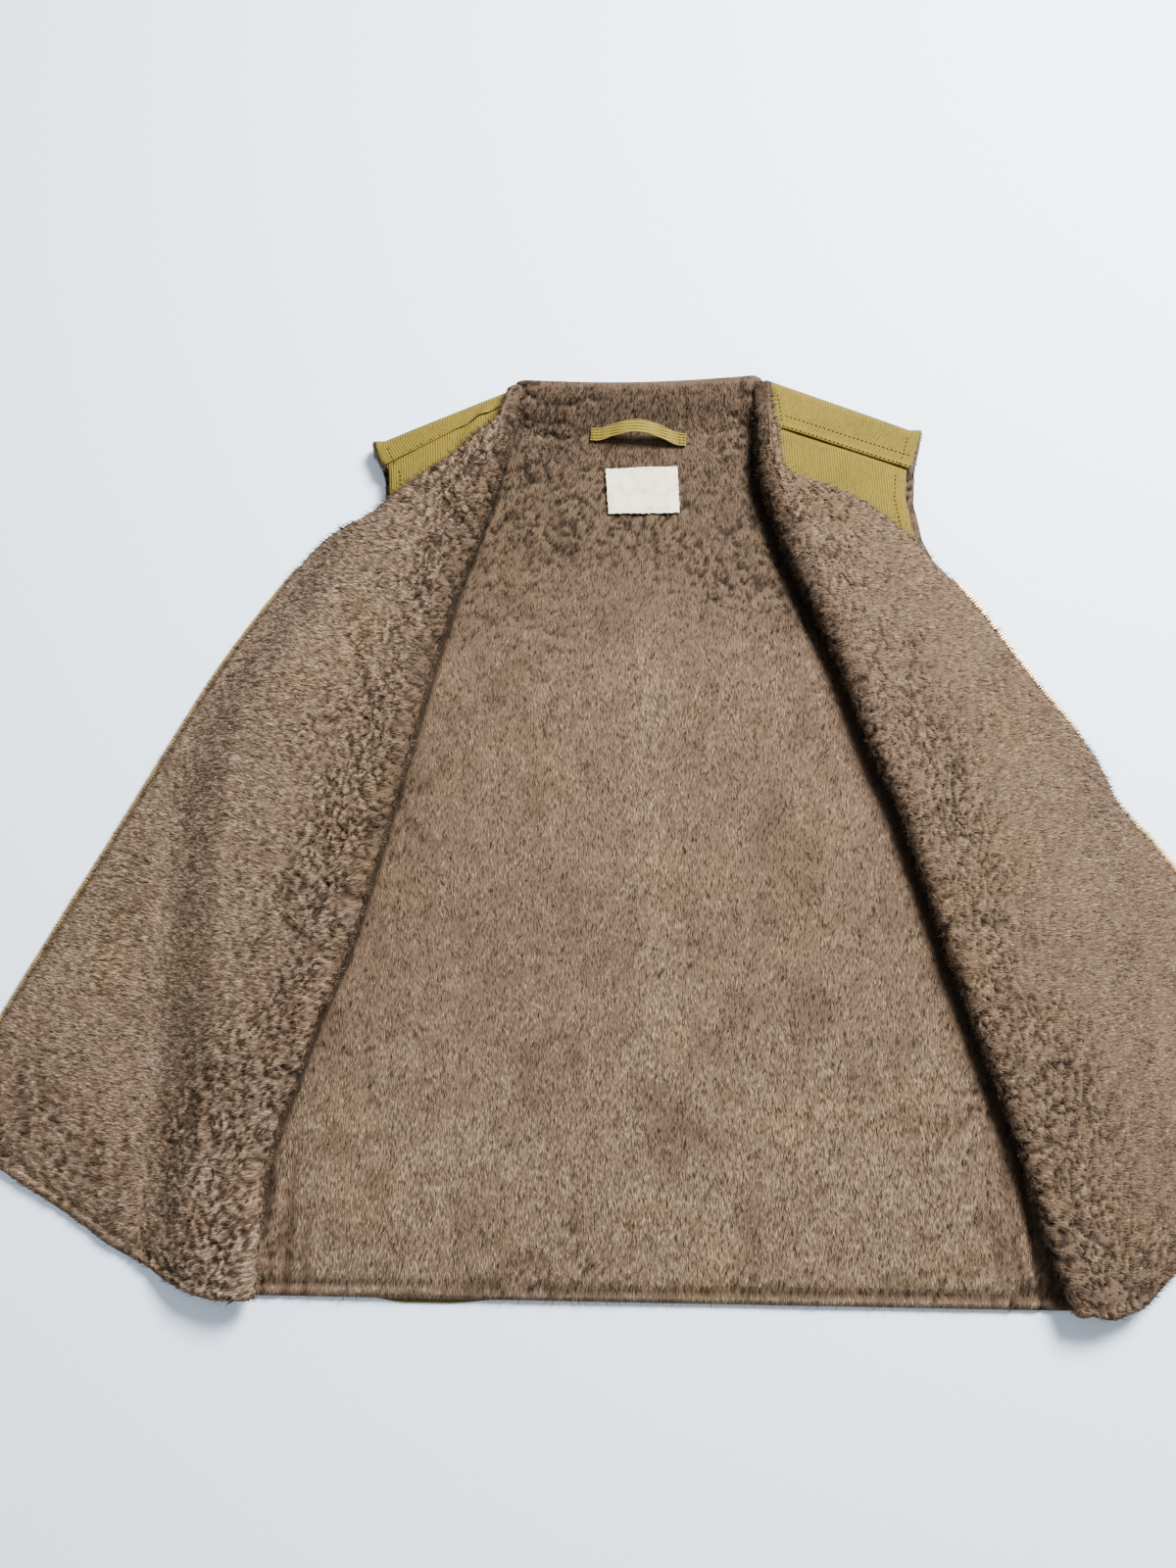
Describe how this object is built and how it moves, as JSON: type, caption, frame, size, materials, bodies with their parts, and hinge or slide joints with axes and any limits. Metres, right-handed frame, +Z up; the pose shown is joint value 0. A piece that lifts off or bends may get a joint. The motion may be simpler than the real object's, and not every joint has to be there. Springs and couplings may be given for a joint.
{
  "type": "deck vest",
  "caption": "Sleeveless deck vest laid flat on its back, fronts folded open over a pile lining, with a hanger loop and a zip.",
  "frame": {"origin": "centre of the underside of the bounding box, on the surface the vest lies on", "axes": "+X to the wearer's left, +Y from the hem to the neck, +Z up, out of the lining"},
  "size_m": [0.9558, 0.6604, 0.0296],
  "materials": {
    "outer_cloth": "ribbed cotton",
    "pile_lining": "curly wool pile",
    "label_cloth": "woven label",
    "zip_tape": "woven tape",
    "zip_brass": "worn brass"
  },
  "bodies": {
    "vest": {"back_shell": "outer_cloth", "back_pile": "pile_lining", "front_shell_right": "outer_cloth", "front_shell_left": "outer_cloth", "front_pile_right": "pile_lining", "front_pile_left": "pile_lining", "hanger_loop": "outer_cloth", "size_label": "label_cloth", "zip_tape_right": "zip_tape", "zip_tape_left": "zip_tape", "zip_chain_right": "zip_brass", "zip_chain_left": "zip_brass", "zip_slider": "zip_brass", "zip_box": "zip_brass", "zip_pin": "zip_brass"},
    "pull_tab": {"zip_pull_tab": "zip_brass"}
  },
  "joints": [
    {"name": "pull_tab_swing", "type": "hinge", "parent": "vest", "child": "pull_tab", "pos_m": [-0.46952, -0.1763, 0.00138], "axis": [-0.8972, 0.4417, 0], "range_deg": [0, 165]}
  ]
}
